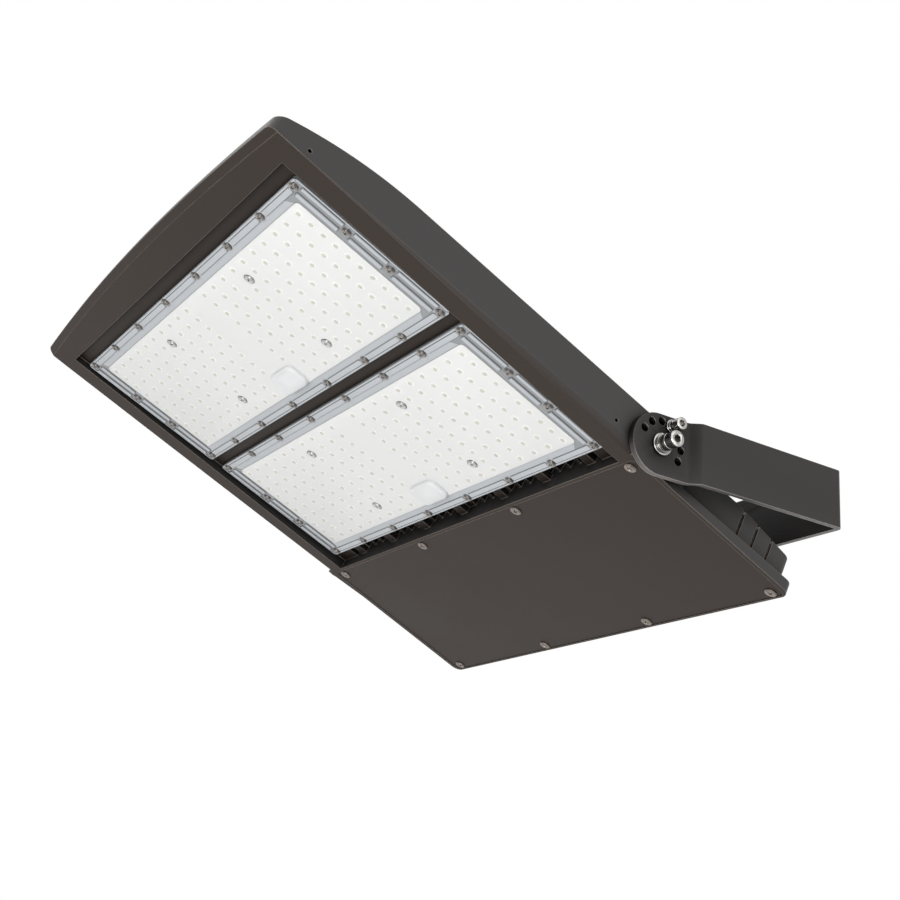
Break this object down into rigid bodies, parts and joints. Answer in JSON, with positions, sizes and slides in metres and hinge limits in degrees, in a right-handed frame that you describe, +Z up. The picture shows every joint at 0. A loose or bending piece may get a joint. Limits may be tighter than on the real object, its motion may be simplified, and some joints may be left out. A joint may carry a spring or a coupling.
{
  "type": "area light",
  "caption": "Flat flood light with two clear lens panels and a finned metal housing, tilting in a U-shaped flat-bar yoke with a side lock screw.",
  "frame": {"origin": "centre of the wall hole pattern, on the outer face of the yoke's cross-piece", "axes": "+Y out of the wall face towards the wall, +Z up with the yoke level, +X towards the lamp's side that the picture shows; the tilt axis runs along X"},
  "size_m": [0.5478, 0.5473, 0.2417],
  "materials": {
    "bracket_paint": "satin powder coat",
    "housing_paint": "fine satin powder coat on die-cast aluminium",
    "cover_paint": "fine satin powder coat on sheet aluminium",
    "black_rubber": "matte",
    "stainless": "bright stainless",
    "clear_lens": "clear moulded plastic",
    "white_board": "white solder mask over metal",
    "light_chip": "yellow phosphor resin",
    "grey_pad": "matte",
    "white_plastic": "matte",
    "black_plastic": "fine matte",
    "red_lead": "smooth insulation",
    "green_lead": "smooth insulation",
    "driver_case": "brushed case"
  },
  "bodies": {
    "yoke": {"yoke_bracket": "bracket_paint"},
    "lamp_head": {"housing": "housing_paint", "driver_cover": "cover_paint", "cover_gasket": "black_rubber", "cover_screws": "stainless", "lens_front": "clear_lens", "lens_rear": "clear_lens", "lens_gasket_front": "black_rubber", "lens_gasket_rear": "black_rubber", "lens_screws_front": "stainless", "lens_screws_rear": "stainless", "led_board_front": "white_board", "led_board_rear": "white_board", "leds_front": "light_chip", "leds_rear": "light_chip", "thermal_pad_front": "grey_pad", "thermal_pad_rear": "grey_pad", "board_connectors": "white_plastic", "led_leads": "red_lead", "driver_left": "driver_case", "driver_right": "driver_case", "driver_screws": "stainless", "surge_protector": "black_plastic", "terminal_block": "white_plastic", "supply_leads": "green_lead", "gland_body": "black_plastic", "gland_seal": "black_rubber", "gland_nut": "black_plastic", "gland_insert": "black_rubber", "gland_locknut": "stainless", "breather_vent": "black_plastic", "pivot_bolt_left": "stainless", "pivot_bolt_right": "stainless", "pivot_flat_washers": "stainless", "pivot_spring_washers": "stainless", "pivot_spacers": "stainless", "friction_washers": "black_plastic"},
    "lock": {"lock_screw": "stainless", "lock_flat_washer": "stainless", "lock_spring_washer": "stainless", "lock_spacer": "stainless"}
  },
  "joints": [
    {"name": "housing_tilt", "type": "hinge", "parent": "yoke", "child": "lamp_head", "pos_m": [0, -0.1915, 0], "axis": [1, 0, 0], "range_deg": [-90, 90]},
    {"name": "lock_screw_slide", "type": "slide", "parent": "yoke", "child": "lock", "axis": [1, 0, 0], "range_m": [0, 0.016]}
  ]
}
